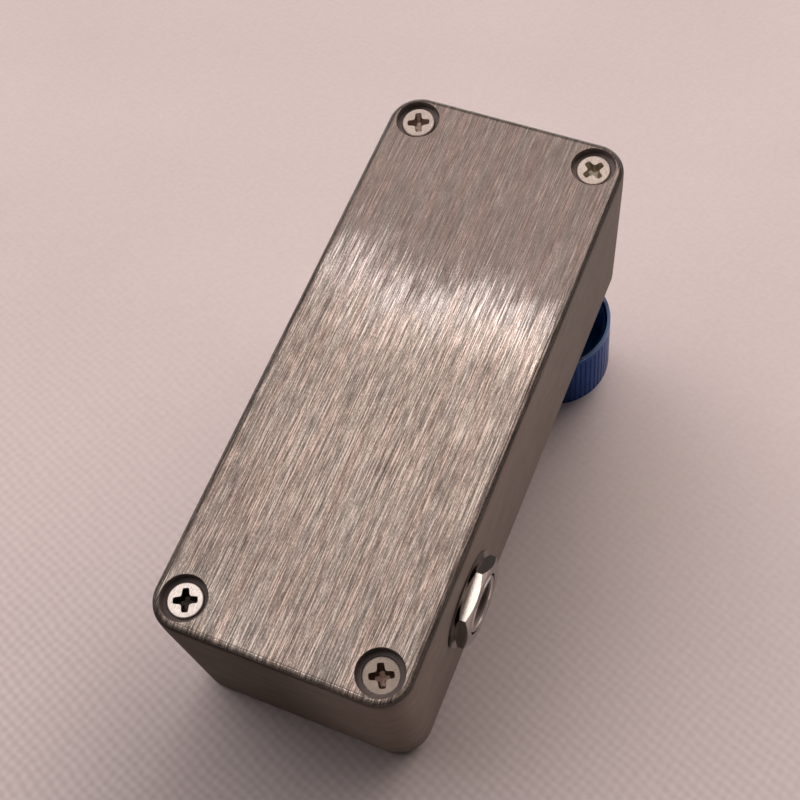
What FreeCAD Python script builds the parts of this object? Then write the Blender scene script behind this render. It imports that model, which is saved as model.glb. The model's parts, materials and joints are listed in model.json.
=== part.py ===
"""Tube buffer amplifier in a small die-cast box, standing on its lid with the knobs up.

Frame: the origin is the centre of the lid's outer face, +Z points up through the knobs,
+Y runs along the box from the jack end to the knob end, and X is its width. Millimetres.
"""
import FreeCAD, Part
import math
import os
import re
import Sketcher

DIMENSIONS = {
    # Allowances: how far a cut or a join runs past its piece, a running gap, a small turned edge,
    # how far a bent leaf's inner corner moves in, and the reach of cuts through a wall or a plate.
    "past": 1.0,
    "gap": 0.1,
    "turned_edge": 0.4,
    "bend_in": 0.2,
    "wall_cut": 6.0,
    "plate_cut": 3.0,
    "stack_cut": 5.0,
    "thread_gap": 0.08,
    "bevel_rise": 0.58,
    # Die-cast box: its open rim stands on the lid, and its walls lean in towards the face.
    "case_width": 38.5,
    "case_length": 93.8,
    "case_height": 31.0,
    "corner_round": 5.0,
    "draft_angle": 1.485,
    "face_round": 1.6,
    "face_thick": 2.2,
    "cavity_x": 16.7,
    "cavity_y": 44.35,
    "boss_x": 10.9,
    "boss_y": 38.6,
    "boss_round": 3.2,
    # Lid: a plate with a rim as high as the parting line, and a tongue inside the box.
    "lid_height": 4.0,
    "lid_plate": 2.4,
    "lid_round": 1.25,
    "tongue_gap": 0.15,
    "tongue_wide": 1.2,
    "tongue_high": 1.0,
    # Countersunk lid screws, sunk below the lid's outer face.
    "screw_x": 14.55,
    "screw_y": 42.2,
    "well_radius": 3.45,
    "well_deep": 1.2,
    "sink_radius": 2.72,
    "screw_hole": 1.65,
    "head_radius": 2.58,
    "head_edge": 0.1,
    "screw_radius": 1.5,
    "screw_end": 12.2,
    "screw_point": 0.5,
    "cross_half": 1.55,
    "cross_arm": 0.3,
    "cross_deep": 0.95,
    "turn_left_far": 35.0,
    "turn_right_far": 68.0,
    "turn_left_near": 63.0,
    "turn_right_near": 67.0,
    "tapped_radius": 1.55,
    "tapped_deep": 12.0,
    # Knobs: hollow from behind, with a hub on the shaft and a spoke for the set screw.
    "knob_x": 11.0,
    "knob_y": 33.5,
    "knob_back": 34.0,
    "knob_front": 48.5,
    "knob_radius": 9.7,
    "knob_wall": 1.05,
    "knob_lip": 0.55,
    "knob_lip_high": 1.0,
    "knob_cap": 2.4,
    "knob_edge": 0.5,
    "hub_radius": 5.2,
    "hub_back": 34.7,
    "knob_bore": 3.05,
    "bore_end": 45.2,
    "rib_count": 60.0,
    "rib_deep": 0.12,
    "rib_half": 0.26,
    "rib_low": 35.3,
    "rib_high": 47.6,
    "pointer_half": 0.45,
    "pointer_deep": 0.3,
    "pointer_start": 3.2,
    "spoke_radius": 2.5,
    "set_height": 39.5,
    "set_radius": 1.5,
    "set_length": 4.8,
    "set_point": 0.4,
    "set_socket": 0.75,
    "set_socket_deep": 2.0,
    # Rotary controls: a square case on the circuit board, its neck through the face.
    "pot_half": 4.8,
    "pot_rear": 6.6,
    "pot_fore": 4.6,
    "pot_corner": 0.6,
    "pot_case_top": 28.2,
    "pot_board_top": 22.8,
    "pot_cavity": 4.2,
    "pot_cavity_top": 27.4,
    "pot_hole": 3.6,
    "neck_radius": 3.45,
    "neck_flange": 4.6,
    "neck_top": 34.0,
    "neck_edge": 0.3,
    "shaft_radius": 3.0,
    "shaft_top": 44.9,
    "rotor_radius": 3.9,
    "rotor_low": 23.6,
    "rotor_high": 26.9,
    "wiper_radius": 3.4,
    "wiper_thick": 0.25,
    "finger_low": 22.9,
    "finger_half": 0.35,
    "finger_near": 2.2,
    "pot_rivet": 1.0,
    "pin_pitch": 2.5,
    "pin_row": 5.6,
    "pin_half": 0.45,
    "pin_thin": 0.2,
    "pin_low": 18.6,
    "pin_hole": 0.6,
    "pot_washer_radius": 5.0,
    "pot_washer_hole": 3.6,
    "pot_washer_thick": 0.5,
    "pot_nut_flat": 5.0,
    "pot_nut_thick": 2.0,
    "pot_nut_bore": 3.55,
    # Phone jacks: measured from the inner wall, the bore's axis square to the side.
    "jack_height": 13.6,
    "output_y": 24.8,
    "input_y": 5.0,
    "jack_hole": 4.7,
    "jack_thread": 4.5,
    "jack_bore": 3.2,
    "jack_front": 4.8,
    "jack_edge": 0.4,
    "jack_flange": 7.4,
    "jack_flange_thick": 1.5,
    "jack_sleeve": 4.4,
    "jack_sleeve_end": 5.0,
    "leg_near": 6.0,
    "leg_far": 7.2,
    "leg_half": 4.0,
    "leg_end": 12.0,
    "lug_reach": 8.0,
    "lug_long": 3.0,
    "lug_hole": 0.7,
    "wafer_thick": 0.8,
    "wafer_half": 3.5,
    "lug_half": 2.5,
    "wafer_near": 2.5,
    "wafer_end": 9.5,
    "leaf_thick": 0.3,
    "leaf_half": 2.0,
    "leaf_start": 9.8,
    "leaf_gap": 0.1,
    "leaf_bend": 19.0,
    "leaf_touch": 22.6,
    "leaf_end": 24.2,
    "touch_radius": 2.2,
    "tail_radius": 3.6,
    "tab_near": 3.0,
    "tab_end": 6.0,
    "tab_reach": 7.0,
    "tab_hole_in": 1.4,
    "rivet_one": 4.4,
    "rivet_two": 7.6,
    "rivet_radius": 0.75,
    "rivet_hole": 0.85,
    "rivet_head": 1.4,
    "rivet_cap": 0.4,
    "jack_washer_low": 2.5,
    "jack_washer_thick": 0.3,
    "jack_washer_radius": 7.3,
    "jack_washer_hole": 4.6,
    "jack_nut_flat": 6.0,
    "jack_nut_thick": 1.95,
    "jack_nut_bore": 4.6,
    "jack_nut_turn": 13.3,
    # Power socket in the far end, measured from the inner wall.
    "power_height": 12.0,
    "barrel_hole": 5.5,
    "barrel_radius": 5.4,
    "barrel_back": 9.4,
    "barrel_floor": 6.9,
    "socket_radius": 2.9,
    "socket_edge": 0.4,
    "flange_radius": 6.9,
    "flange_back": 2.55,
    "flange_front": 4.35,
    "power_pin": 1.05,
    "power_pin_front": 3.0,
    "power_pin_tail": 0.8,
    "power_pin_hole": 0.85,
    "power_tag_end": 13.0,
    "power_tag_root": 10.8,
    "power_tag_long": 2.5,
    "power_tag_half": 1.2,
    "power_tag_thin": 0.25,
    "power_nut_flat": 6.5,
    "power_nut_bore": 5.5,
    "power_nut_thick": 2.0,
    "slot_half": 1.3,
    "slot_front": 0.3,
    "contact_half": 1.0,
    "contact_radius": 4.4,
    "contact_start": 6.2,
    "contact_bend": 4.6,
    "contact_touch": 2.2,
    "contact_tip": 0.5,
    "contact_inner": 2.4,
    "contact_outer": 4.0,
    "lug_back": 10.6,
    # Indicator lamp on the face, between the knobs and the middle of the box.
    "lamp_y": 12.0,
    "lamp_hole": 3.1,
    "bezel_radius": 3.9,
    "bezel_high": 1.2,
    "bezel_edge": 0.5,
    "bezel_mouth": 0.8,
    "bezel_barrel": 3.0,
    "bezel_low": 26.9,
    "bezel_bore": 1.6,
    "bezel_nut_flat": 3.75,
    "bezel_nut_thick": 1.6,
    "lamp_radius": 1.5,
    "lamp_rim": 1.85,
    "lamp_low": 25.4,
    "lamp_rim_top": 26.4,
    "lamp_top": 33.0,
    "lamp_dome": 1.1,
    "lamp_lead": 0.25,
    "lamp_pitch": 0.8,
    # Circuit board hung from the rotary controls.
    "board_half": 16.0,
    "board_near": 5.2,
    "board_far": 38.2,
    "board_low": 19.8,
    "board_top": 21.4,
    "lead_hole": 0.4,
    # Subminiature valve slung across the box under the board.
    "valve_y": 17.0,
    "valve_z": 12.5,
    "glass_radius": 3.9,
    "glass_thick": 0.6,
    "glass_base": 1.8,
    "dome_flat": 0.7,
    "dome_side": 0.2,
    "dome_rise": 0.3,
    "cathode_gap": 0.02,
    "cathode_past": 0.8,
    "grid_inset": 1.1,
    "strap_join": 0.2,
    "glass_left": 14.5,
    "glass_right": 12.5,
    "glass_dome": 3.2,
    "glass_tip": 0.9,
    "glass_tip_long": 1.0,
    "anode_half_x": 2.3,
    "anode_half_y": 1.5,
    "anode_thick": 0.2,
    "anode_left": 9.0,
    "anode_right": 6.0,
    "spacer_radius": 3.2,
    "spacer_thick": 0.35,
    "cathode_radius": 0.35,
    "grid_radius": 0.9,
    "grid_wire": 0.12,
    "grid_pitch": 1.25,
    "grid_high": 12.5,
    "cushion_inner": 3.95,
    "cushion_outer": 5.3,
    "cushion_wide": 3.0,
    "cushion_left": 9.5,
    "cushion_right": 6.0,
    "strap_inner": 5.35,
    "strap_outer": 5.75,
    "strap_wide": 2.0,
    "strap_half": 1.5,
    "strap_foot": 7.3,
    "valve_lead": 0.2,
    "valve_lead_pitch": 1.3,
    "valve_lead_x": 14.4,
    # Parts on the board.
    "can_radius": 3.15,
    "can_y": 26.0,
    "can_z": 15.6,
    "can_near": 3.6,
    "can_long": 10.9,
    "can_groove": 0.3,
    "can_lead": 0.3,
    "can_lead_pitch": 1.25,
    "can_lead_x": 1.9,
    "film_long": 7.2,
    "film_wide": 2.6,
    "film_high": 5.4,
    "film_x": 11.0,
    "film_y": 9.0,
    "film_pitch": 4.6,
    "chip_x": 9.0,
    "chip_y": 11.0,
    "chip_long": 5.0,
    "chip_wide": 4.0,
    "chip_low": 21.55,
    "chip_top": 23.05,
    "chip_leg_reach": 3.1,
    "chip_leg_half": 0.2,
    "chip_leg_pitch": 1.27,
    "chip_leg_top": 22.1,
    "resistor_x": 1.2,
    "resistor_y": 16.6,
    "resistor_long": 3.2,
    "resistor_wide": 1.6,
    "resistor_high": 0.55,
    "resistor_step_x": 3.9,
    "resistor_step_y": 2.9,
    "diode_y": 22.0,
    "diode_x": 2.6,
    "diode_long": 4.3,
    "diode_wide": 2.6,
    "diode_high": 2.2,
    "wire_radius": 0.45,
}

document = FreeCAD.newDocument("tube_buffer")
sheet = document.addObject("Spreadsheet::Sheet", "dims")
for row, (alias, value) in enumerate(DIMENSIONS.items(), start=1):
    sheet.set(f"A{row}", alias)
    sheet.set(f"B{row}", str(value))
    sheet.setAlias(f"B{row}", alias)
document.recompute()

UPRIGHT = FreeCAD.Rotation()
TO_LEFT = FreeCAD.Rotation(FreeCAD.Vector(0, 1, 0), -90)
TO_RIGHT = FreeCAD.Rotation(FreeCAD.Vector(1, 0, 1), 180)
TO_FAR = FreeCAD.Rotation(FreeCAD.Vector(1, 0, 0), -90)
ALONG_X = FreeCAD.Rotation(FreeCAD.Vector(0, 1, 0), 90)
nodes = []


def size(alias):
    """One value of the sheet, for the shapes that are worked out in code."""
    return float(sheet.get(alias))


def bind(item, path, text):
    """Ties a property to the sheet: every word of the text is the name of a cell."""
    item.setExpression(path, re.sub(r"\b([a-z]\w*)\b(?!\()", r"dims.\1", text))


def put(item, x="0", y="0", z="0", turn=UPRIGHT):
    """Turns an object and binds its place."""
    item.Placement = FreeCAD.Placement(FreeCAD.Vector(), turn)
    for axis, text in zip("xyz", (x, y, z)):
        bind(item, f"Placement.Base.{axis}", text)
    return item


def keep(item):
    """Marks an object as a sub-part of its own."""
    nodes.append(item)
    return item


def new_body(label):
    body = document.addObject("PartDesign::Body", label)
    body.Label = label
    return body


def group(label, members):
    """Identical pieces that share one node, each a separate solid."""
    compound = document.addObject("Part::Compound", label)
    compound.Label = label
    compound.Links = members
    return keep(compound)


class Drawing:
    """A sketch on a plane of its body, with every point tied to the sheet."""

    def __init__(self, body, plane="XY_Plane", x="0", y="0", z="0"):
        self.body = body
        self.sketch = body.newObject("Sketcher::SketchObject", "profile")
        support = next(item for item in body.Origin.OriginFeatures if item.Role == plane)
        self.sketch.AttachmentSupport = [(support, "")]
        self.sketch.MapMode = "FlatFace"
        for axis, text in zip("xyz", (x, y, z)):
            bind(self.sketch, f"AttachmentOffset.Base.{axis}", text)

    def hold(self, kind, geometry, vertex, text):
        """One measured distance from the sketch's origin, or a radius."""
        if kind == "Radius":
            rule = Sketcher.Constraint(kind, geometry, 1.0)
        else:
            rule = Sketcher.Constraint(kind, -1, 1, geometry, vertex, 1.0)
        index = self.sketch.addConstraint(rule)
        bind(self.sketch, f"Constraints[{index}]", text)

    def polygon(self, points):
        """A closed outline of straight sides through the points."""
        first = len(self.sketch.Geometry)
        count = len(points)
        ring = []
        for step in range(count):
            angle = 2 * math.pi * step / count
            ring.append(FreeCAD.Vector(10 * math.cos(angle), 10 * math.sin(angle), 0))
        for step in range(count):
            self.sketch.addGeometry(Part.LineSegment(ring[step], ring[(step + 1) % count]), False)
        for step in range(count):
            following = first + (step + 1) % count
            joined = Sketcher.Constraint("Coincident", first + step, 2, following, 1)
            self.sketch.addConstraint(joined)
        for step, (x, y) in enumerate(points):
            self.hold("DistanceX", first + step, 1, x)
            self.hold("DistanceY", first + step, 1, y)
        return self

    def rectangle(self, left, right, low, high):
        return self.polygon([(left, low), (right, low), (right, high), (left, high)])

    def circle(self, x, y, radius):
        round_line = Part.Circle(FreeCAD.Vector(0, 0, 0), FreeCAD.Vector(0, 0, 1), 1.0)
        index = self.sketch.addGeometry(round_line, False)
        self.hold("DistanceX", index, 3, x)
        self.hold("DistanceY", index, 3, y)
        self.hold("Radius", index, 0, radius)
        return self

    def feature(self, kind):
        item = self.body.newObject("PartDesign::" + kind, kind.lower())
        item.Profile = (self.sketch, [""])
        return item

    def pad(self, length, backwards=False, taper=None):
        item = self.feature("Pad")
        item.Reversed = backwards
        bind(item, "Length", length)
        if taper:
            bind(item, "TaperAngle", taper)
        return item

    def pocket(self, depth, backwards=False):
        """Cuts against the plane's normal, or along it where backwards is set."""
        document.recompute()
        before = self.body.Shape.Volume
        item = self.feature("Pocket")
        item.Reversed = backwards
        bind(item, "Length", depth)
        document.recompute()
        if self.body.Shape.Volume > before - 1e-4:
            raise RuntimeError(f"{self.body.Label}: {item.Name} cuts nothing")
        return item

    def turn(self):
        """A solid of revolution about the sketch's upright axis."""
        item = self.feature("Revolution")
        item.ReferenceAxis = (self.sketch, ["V_Axis"])
        item.Angle = 360
        return item

    def groove(self):
        """A cut of revolution about the sketch's upright axis."""
        document.recompute()
        before = self.body.Shape.Volume
        item = self.feature("Groove")
        item.ReferenceAxis = (self.sketch, ["V_Axis"])
        item.Angle = 360
        document.recompute()
        if self.body.Shape.Volume > before - 1e-4:
            raise RuntimeError(f"{self.body.Label}: {item.Name} cuts nothing")
        return item


def edges_where(body, test):
    """The names of the edges of a body's tip that pass a test."""
    document.recompute()
    edges = body.Tip.Shape.Edges
    return [f"Edge{number}" for number, edge in enumerate(edges, start=1) if test(edge)]


def dress(body, kind, prop, text, test):
    """A fillet or chamfer on the edges that pass a test."""
    names = edges_where(body, test)
    if not names:
        raise RuntimeError(f"{body.Label}: no edge for the {kind.lower()}")
    base = body.Tip
    item = body.newObject("PartDesign::" + kind, kind.lower())
    item.Base = (base, names)
    bind(item, prop, text)
    document.recompute()
    return item


def level(height, tolerance=0.02):
    """A test for edges that lie flat at one height."""
    def test(edge):
        box = edge.BoundBox
        return abs(box.ZMin - height) < tolerance and abs(box.ZMax - height) < tolerance
    return test


def upright(edge):
    """A test for straight edges that run from low to high."""
    box = edge.BoundBox
    return box.ZLength > 0.9 and box.ZLength > 8 * max(box.XLength, box.YLength)


def turned(label, points):
    """A body of revolution about Z from (radius, height) points."""
    body = new_body(label)
    Drawing(body, "XZ_Plane").polygon(points).turn()
    return body


def hexagon(flat):
    """The corners of a hexagon with two flats square to Y, from half its width."""
    half = f"{flat} / sqrt(3)"
    corner = f"{flat} * 2 / sqrt(3)"
    return [
        (corner, "0"), (half, flat), (f"-{half}", flat),
        (f"-{corner}", "0"), (f"-{half}", f"-{flat}"), (half, f"-{flat}"),
    ]


def hex_nut(label, flat, bore, low, thick):
    """A hexagon nut with both faces chamfered by a cone."""
    body = new_body(label)
    Drawing(body, z=low).polygon(hexagon(flat)).circle("0", "0", bore).pad(thick)
    corner = f"({flat} * 2 / sqrt(3) + past)"
    bevel = f"({corner} - {flat}) * bevel_rise"
    high = f"{low} + {thick}"
    Drawing(body, "XZ_Plane").polygon([
        (flat, low), (corner, low), (corner, f"{low} + {bevel}"),
    ]).groove()
    Drawing(body, "XZ_Plane").polygon([
        (flat, high), (corner, f"{high} - {bevel}"), (corner, high),
    ]).groove()
    return body


def ring(label, inner, outer, low, thick):
    return turned(label, [
        (inner, low), (outer, low), (outer, f"{low} + {thick}"), (inner, f"{low} + {thick}"),
    ])


def cavity_outline(inset):
    """The inside of the walls with a square left at each corner for a screw boss."""
    far_x = f"cavity_x - {inset}"
    far_y = f"cavity_y - {inset}"
    near_x = f"boss_x - {inset}"
    near_y = f"boss_y - {inset}"
    return [
        (far_x, f"-({near_y})"), (far_x, near_y), (near_x, near_y), (near_x, far_y),
        (f"-({near_x})", far_y), (f"-({near_x})", near_y), (f"-({far_x})", near_y),
        (f"-({far_x})", f"-({near_y})"), (f"-({near_x})", f"-({near_y})"),
        (f"-({near_x})", f"-({far_y})"), (near_x, f"-({far_y})"), (near_x, f"-({near_y})"),
    ]


def case_outline(drawing):
    return drawing.rectangle("-case_width / 2", "case_width / 2",
                             "-case_length / 2", "case_length / 2")


def corners():
    """The four screw places, as signs of X and Y."""
    return [(-1, 1), (1, 1), (-1, -1), (1, -1)]


def signed(sign, text):
    return text if sign > 0 else f"-{text}"


def make_enclosure():
    body = new_body("enclosure")
    case_outline(Drawing(body, z="lid_height")).pad("case_height - lid_height",
                                                    taper="-draft_angle")
    dress(body, "Fillet", "Radius", "corner_round", upright)
    dress(body, "Fillet", "Radius", "face_round", level(size("case_height")))
    Drawing(body, z="lid_height").polygon(cavity_outline("0")).pocket(
        "case_height - face_thick - lid_height", backwards=True)

    def boss_edge(edge):
        x, y = abs(edge.BoundBox.Center.x), abs(edge.BoundBox.Center.y)
        beside = abs(x - size("boss_x")) < 0.02 and abs(y - size("boss_y")) < 0.02
        return upright(edge) and beside

    dress(body, "Fillet", "Radius", "boss_round", boss_edge)
    holes = Drawing(body, z="lid_height")
    for sign_x, sign_y in corners():
        holes.circle(signed(sign_x, "screw_x"), signed(sign_y, "screw_y"), "tapped_radius")
    holes.pocket("tapped_deep", backwards=True)
    face = Drawing(body, z="case_height")
    face.circle("-knob_x", "knob_y", "pot_hole").circle("knob_x", "knob_y", "pot_hole")
    face.circle("0", "lamp_y", "lamp_hole").pocket("face_thick + past")
    side = Drawing(body, "YZ_Plane", z="-cavity_x + past")
    side.circle("-output_y", "jack_height", "jack_hole").pocket("wall_cut")
    side = Drawing(body, "YZ_Plane", z="cavity_x - past")
    side.circle("-input_y", "jack_height", "jack_hole").pocket("wall_cut", backwards=True)
    far_end = Drawing(body, "XZ_Plane", z="-cavity_y + past")
    far_end.circle("0", "power_height", "barrel_hole").pocket("wall_cut")
    keep(body)


def make_base_lid():
    body = new_body("base_lid")
    case_outline(Drawing(body)).pad("lid_height")
    dress(body, "Fillet", "Radius", "corner_round", upright)
    dress(body, "Fillet", "Radius", "lid_round", level(0))
    Drawing(body, z="lid_height").polygon(cavity_outline("tongue_gap")).pad("tongue_high")
    Drawing(body, z="lid_height + tongue_high").polygon(
        cavity_outline("(tongue_gap + tongue_wide)")
    ).pocket("lid_height + tongue_high - lid_plate")
    for sign_x, sign_y in corners():
        well = Drawing(body, "XZ_Plane", x=signed(sign_x, "screw_x"),
                       z=signed(-sign_y, "screw_y"))
        well.polygon([
            ("0", "-past"), ("well_radius", "-past"), ("well_radius", "well_deep"),
            ("sink_radius", "well_deep"), ("screw_hole", "well_deep + sink_radius - screw_hole"),
            ("screw_hole", "lid_height + past"), ("0", "lid_height + past"),
        ]).groove()
    keep(body)


def lid_screw(label):
    """A countersunk screw, head down, with a cross recess cut from below."""
    cone = "well_deep + head_edge + head_radius - screw_radius"
    body = turned(label, [
        ("0", "well_deep"), ("head_radius", "well_deep"), ("head_radius", "well_deep + head_edge"),
        ("screw_radius", cone), ("screw_radius", "screw_end - screw_point"),
        ("screw_radius - screw_point", "screw_end"), ("0", "screw_end"),
    ])
    cross = Drawing(body, z="well_deep")
    cross.polygon([
        ("cross_half", "-cross_arm"), ("cross_half", "cross_arm"), ("cross_arm", "cross_arm"),
        ("cross_arm", "cross_half"), ("-cross_arm", "cross_half"), ("-cross_arm", "cross_arm"),
        ("-cross_half", "cross_arm"), ("-cross_half", "-cross_arm"), ("-cross_arm", "-cross_arm"),
        ("-cross_arm", "-cross_half"), ("cross_arm", "-cross_half"), ("cross_arm", "-cross_arm"),
    ]).pocket("cross_deep", backwards=True)
    return body


def make_lid_screws():
    screws = []
    for number, (sign_x, sign_y) in enumerate(corners(), start=1):
        where = ("left" if sign_x < 0 else "right") + ("_near" if sign_y < 0 else "_far")
        turn = FreeCAD.Rotation(FreeCAD.Vector(0, 0, 1), size("turn_" + where))
        screw = lid_screw(f"lid_screw_{number}")
        put(screw, signed(sign_x, "screw_x"), signed(sign_y, "screw_y"), "0", turn)
        screws.append(screw)
    group("lid_screws", screws)


def make_knob(label, x):
    """A ribbed hollow knob with a pointer slot towards +Y and a spoke under it."""
    body = turned(label, [
        ("knob_bore", "hub_back"), ("hub_radius", "hub_back"),
        ("hub_radius", "knob_front - knob_cap"),
        ("knob_radius - knob_wall", "knob_front - knob_cap"),
        ("knob_radius - knob_wall", "knob_back + knob_lip_high"),
        ("knob_radius - knob_lip", "knob_back"), ("knob_radius", "knob_back"),
        ("knob_radius", "knob_front - knob_edge"), ("knob_radius - knob_edge", "knob_front"),
        ("0", "knob_front"), ("0", "bore_end"), ("knob_bore", "bore_end"),
    ])
    spoke = Drawing(body, "XZ_Plane", z="-(hub_radius - past)")
    spoke.circle("0", "set_height", "spoke_radius")
    spoke.pad("knob_radius - knob_wall - hub_radius + past + turned_edge", backwards=True)
    Drawing(body, "XZ_Plane").circle("0", "set_height", "tapped_radius").pocket("knob_radius + past")
    slot = Drawing(body, z="knob_front")
    slot.rectangle("-pointer_half", "pointer_half", "pointer_start", "knob_radius + past")
    slot.pocket("pointer_deep")
    side = Drawing(body, z="knob_front")
    side.rectangle("-pointer_half", "pointer_half", "knob_radius - pointer_deep",
                   "knob_radius + past")
    side.pocket("knob_front - rib_low")
    document.recompute()
    rib = Drawing(body, z="rib_high")
    rib.polygon([("knob_radius - rib_deep", "0"), ("knob_radius + gap", "-rib_half - gap"),
                 ("knob_radius + gap", "rib_half + gap")])
    cut = rib.pocket("rib_high - rib_low")
    pattern = body.newObject("PartDesign::PolarPattern", "ribs")
    pattern.Originals = [cut]
    upright_axis = next(item for item in body.Origin.OriginFeatures if item.Role == "Z_Axis")
    pattern.Axis = (upright_axis, [""])
    pattern.Angle = 360
    bind(pattern, "Occurrences", "rib_count")
    body.Tip = pattern
    keep(put(body, x, "knob_y"))


def make_set_screw(label, x):
    """A socket set screw from the shaft out through the spoke."""
    body = turned(label, [
        ("0", "0"), ("set_radius - set_point", "0"), ("set_radius", "set_point"),
        ("set_radius", "set_length"), ("0", "set_length"),
    ])
    Drawing(body, z="set_length").polygon(hexagon("set_socket")).pocket("set_socket_deep")
    keep(put(body, x, "knob_y + knob_bore", "set_height", TO_FAR))


def pot_outline(drawing):
    return drawing.rectangle("-pot_half", "pot_half", "-pot_rear", "pot_fore")


def make_pot(name, x):
    """A rotary control: case, neck, turning shaft and wiper, resistive board and pins."""
    case = new_body(name + "_pot_case")
    pot_outline(Drawing(case, z="pot_board_top")).pad("pot_case_top - pot_board_top")
    dress(case, "Fillet", "Radius", "pot_corner", upright)
    Drawing(case, z="pot_board_top").circle("0", "0", "pot_cavity").pocket(
        "pot_cavity_top - pot_board_top", backwards=True)
    Drawing(case, z="pot_case_top").circle("0", "0", "shaft_radius + gap").pocket(
        "pot_case_top - pot_cavity_top + gap")
    neck = turned(name + "_pot_neck", [
        ("knob_bore", "pot_case_top"), ("neck_flange", "pot_case_top"),
        ("neck_flange", "case_height - face_thick"), ("neck_radius", "case_height - face_thick"),
        ("neck_radius", "neck_top - neck_edge"), ("neck_radius - neck_edge", "neck_top"),
        ("knob_bore", "neck_top"),
    ])
    shaft = turned(name + "_pot_shaft", [
        ("0", "rotor_low"), ("rotor_radius", "rotor_low"), ("rotor_radius", "rotor_high"),
        ("shaft_radius", "rotor_high"), ("shaft_radius", "shaft_top - turned_edge"),
        ("shaft_radius - turned_edge", "shaft_top"), ("0", "shaft_top"),
    ])
    wiper = new_body(name + "_pot_wiper")
    Drawing(wiper, z="rotor_low").circle("0", "0", "wiper_radius").pad("wiper_thick",
                                                                     backwards=True)
    fingers = Drawing(wiper, z="rotor_low - wiper_thick")
    fingers.rectangle("-finger_half", "finger_half", "finger_near", "wiper_radius - gap")
    fingers.rectangle("-finger_half", "finger_half", "-wiper_radius + gap", "-finger_near")
    fingers.pad("rotor_low - wiper_thick - finger_low", backwards=True)
    track = new_body(name + "_pot_track")
    pot_outline(Drawing(track, z="board_top")).circle("0", "0", "pot_rivet").pad(
        "pot_board_top - board_top")
    pins = new_body(name + "_pot_terminals")
    rows = Drawing(pins, z="pin_low")
    for number in (-1, 0, 1):
        middle = f"{number} * pin_pitch"
        rows.rectangle(f"{middle} - pin_half", f"{middle} + pin_half",
                       "-pin_row - pin_thin", "-pin_row + pin_thin")
    rows.pad("board_top - pin_low")
    for body in (case, neck, shaft, wiper, track, pins):
        keep(put(body, x, "knob_y"))


def make_pot_fasteners():
    nuts, washers = [], []
    for number, x in ((1, "-knob_x"), (2, "knob_x")):
        washer = ring(f"pot_washer_{number}", "pot_washer_hole", "pot_washer_radius",
                      "case_height", "pot_washer_thick")
        nut = hex_nut(f"pot_nut_{number}", "pot_nut_flat", "pot_nut_bore",
                      "(case_height + pot_washer_thick)", "pot_nut_thick")
        turn = FreeCAD.Rotation(FreeCAD.Vector(0, 0, 1), 11 * number)
        washers.append(put(washer, x, "knob_y"))
        nuts.append(put(nut, x, "knob_y", "0", turn))
    group("pot_washers", washers)
    group("pot_nuts", nuts)


def slab(body, left, right, low, high, start, end):
    """A block between two depths behind the wall, fused to its body."""
    Drawing(body, z=f"-({start})").rectangle(left, right, low, high).pad(
        f"({end}) - ({start})", backwards=True)


def through(body, radius, places, start, reach):
    """Round holes along the local X axis at depths behind the wall."""
    holes = Drawing(body, "YZ_Plane", z=start)
    for across, depth in places:
        holes.circle(across, f"-({depth})", radius)
    holes.pocket(reach, backwards=True)


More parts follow.
